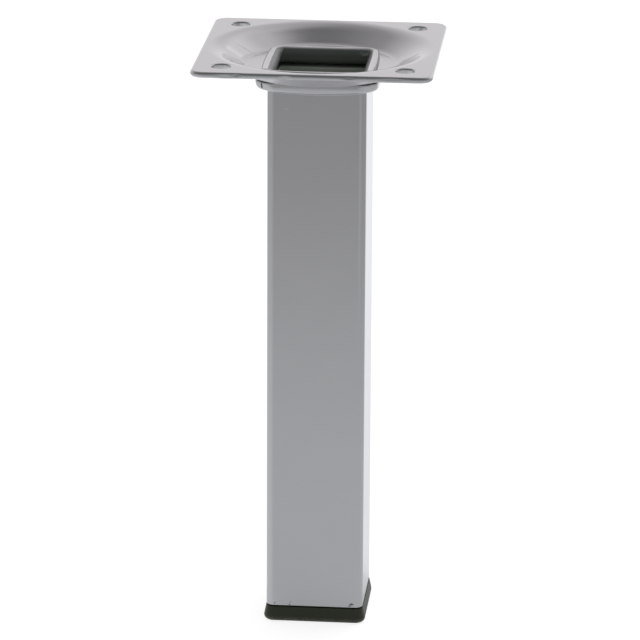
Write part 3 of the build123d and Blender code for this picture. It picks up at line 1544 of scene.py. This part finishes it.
@dataclass(frozen=True)
class RoomGlow:
    """A soft-edged brighter part of the room's walls, as a large lit screen makes it.

    Its azimuth is 0 straight behind the leg and grows to the right.
    """

    azimuth: float
    elevation: float
    inner: float
    outer: float
    level: float

    def light(self, writer: NodeWriter, way: Wire) -> Wire:
        """Add the nodes of the glow.

        Args:
            writer: writes the world's nodes.
            way: the direction that is looked at.

        Returns:
            The glow's level in that direction.
        """
        middle = look_way(180 - self.azimuth, self.elevation)
        angle = writer.math("ARCCOSINE", writer.vector("DOT_PRODUCT", way, middle, output=1))
        return writer.smooth_step(
            angle, math.radians(self.inner), math.radians(self.outer), self.level, 0.0)


@dataclass
class Studio:
    """White backdrop and floor, with soft light from behind and from the sides."""

    front_tint: tuple[float, float, float] = (0.96, 0.99, 1.02)
    back_tint: tuple[float, float, float] = (1.005, 0.978, 1.0)
    white: tuple[float, float, float] = (1.0, 1.0, 1.0)

    # Room: grey levels by height, in front of the leg and behind it
    front_levels: tuple[tuple[float, float], ...] = (
        (0.0, 0.45), (0.3, 0.3), (0.6, 0.17), (0.85, 0.12), (1.0, 0.18))
    back_levels: tuple[tuple[float, float], ...] = (
        (0.0, 0.9), (0.26, 0.84), (0.45, 0.7), (0.6, 0.55), (0.72, 0.4), (0.8, 0.38),
        (0.9, 0.31), (1.0, 0.2))
    back_span: tuple[float, float] = (-0.2, 0.75)
    glows: tuple[RoomGlow, ...] = (
        RoomGlow(34.0, 42.0, 10.0, 36.0, 0.38),
        RoomGlow(17.0, 16.0, 2.0, 8.0, 0.28),
    )

    # Floor: its size and colour, and what the leg mirrors of it on each side
    floor_size: float = 8.0
    floor_colour: float = 0.8
    floor_glow: float = 0.8
    near_glow: float = 0.41
    far_glow: float = 0.135
    far_reach: float = 0.6
    mirror_glow: float = 0.72
    mirror_dim: float = 0.12
    mirror_reach: float = 0.45
    mirror_span: tuple[float, float] = (0.6, 0.95)
    left_glow: float = 0.14
    left_span: tuple[float, float] = (-0.25, -0.75)
    right_glow: float = 0.1
    right_reach: tuple[float, float] = (0.2, 0.45)
    right_start: tuple[float, float] = (0.15, 0.42)
    right_end: tuple[float, float] = (0.55, 0.8)

    # Keeps a division by a distance away from zero
    least: float = 0.001

    def world(self) -> bpy.types.World:
        """Make the surroundings: white for the camera, a soft room for the light.

        Returns:
            The world.
        """
        world = bpy.data.worlds.new("studio_room")
        bpy.context.scene.world = world
        world.use_nodes = True
        world.node_tree.nodes.clear()
        writer = NodeWriter(world.node_tree)
        way = writer.wire("ShaderNodeTexCoord", output="Generated")
        wide, deep, height = writer.split(way)
        flat = writer.math("SQRT", wide * wide + deep * deep)
        behind = writer.smooth_step(
            deep / writer.math("MAXIMUM", flat, self.least), *self.back_span)
        front = writer.ramp(height, self.front_levels)
        back = writer.ramp(height, self.back_levels)
        for glow in self.glows:
            back = writer.mix_colour(1.0, back, glow.light(writer, way), "ADD")
        room = writer.mix_colour(
            behind,
            writer.mix_colour(1.0, front, self.front_tint, "MULTIPLY"),
            writer.mix_colour(1.0, back, self.back_tint, "MULTIPLY"))
        seen = writer.wire("ShaderNodeLightPath", output="Is Camera Ray")
        shader = writer.wire("ShaderNodeBackground", {
            "Color": writer.mix_colour(seen, room, self.white), "Strength": 1.0})
        writer.add("ShaderNodeOutputWorld", {"Surface": shader})
        return world

    def glow(self, writer: NodeWriter) -> Wire:
        """Add the nodes that say how bright the floor looks in the leg's mirror image.

        Args:
            writer: writes the floor material's nodes.

        Returns:
            The level: low near the leg, higher on the left, on the right and behind.
        """
        place = writer.wire("ShaderNodeTexCoord", output="Object")
        wide, deep, _ = writer.split(place)
        reach = writer.vector("LENGTH", place, output=1)
        some_reach = writer.math("MAXIMUM", reach, self.least)
        behind, side = deep / some_reach, wide / some_reach
        bright = writer.smooth_step(behind, *self.mirror_span) * writer.smooth_step(
            reach, 0.0, self.mirror_reach, self.mirror_glow - self.mirror_dim, self.mirror_glow)
        leftwards = writer.smooth_step(side, *self.left_span, 0.0, self.left_glow)
        rightwards = writer.smooth_step(reach, *self.right_reach) * (
            writer.smooth_step(side, *self.right_start, 0.0, self.right_glow)
            * writer.smooth_step(side, *self.right_end, 1.0, 0.0))
        near = leftwards + rightwards + writer.smooth_step(
            reach, 0.0, self.far_reach, self.near_glow, self.far_glow)
        return writer.math("MAXIMUM", near, bright)

    def floor(self) -> bpy.types.Object:
        """Make the floor, which keeps the leg's shadow.

        Returns:
            The floor.
        """
        half = self.floor_size / 2
        mesh = plain_mesh(
            "floor", [(-half, -half, 0), (half, -half, 0), (half, half, 0), (-half, half, 0)],
            [], [(0, 1, 2, 3)])
        piece = link_object("floor", mesh)
        material = bpy.data.materials.new("floor_white")
        material.use_nodes = True
        material.node_tree.nodes.clear()
        writer = NodeWriter(material.node_tree)
        light_path = writer.add("ShaderNodeLightPath").outputs
        glossy = Wire(writer, light_path["Is Glossy Ray"])
        seen = Wire(writer, light_path["Is Camera Ray"])
        matt = writer.wire("ShaderNodeBsdfDiffuse", {
            "Color": (self.floor_colour, self.floor_colour, self.floor_colour, 1.0)})
        light = writer.wire("ShaderNodeEmission", {
            "Color": writer.mix_colour(glossy, self.white, self.front_tint),
            "Strength": seen * self.floor_glow + glossy * self.glow(writer)})
        both = writer.wire("ShaderNodeAddShader", {0: matt, 1: light})
        writer.add("ShaderNodeOutputMaterial", {"Surface": both})
        mesh.materials.append(material)
        return piece

    def build(self) -> None:
        """Make the world and the floor."""
        self.world()
        self.floor()


def main() -> None:
    """Build the studio and the leg, piece by piece."""
    logging.basicConfig(level=logging.INFO, format="%(name)s: %(message)s")
    bpy.context.scene.view_settings.view_transform = "Standard"
    camera = PhotoCamera().build()
    log.info("camera %s at %s", camera.name, tuple(round(v, 3) for v in camera.location))
    Studio().build()
    lacquer = SilverLacquer().build()
    bore = BoreSteel().build()
    plastic = FootPlastic().build()
    for part in (LegTube(lacquer, bore), MountingPlate(lacquer), FootCap(plastic)):
        piece = part.build()
        log.info("%s: %d faces", piece.name, len(piece.data.polygons))


if __name__ == "__main__":
    main()
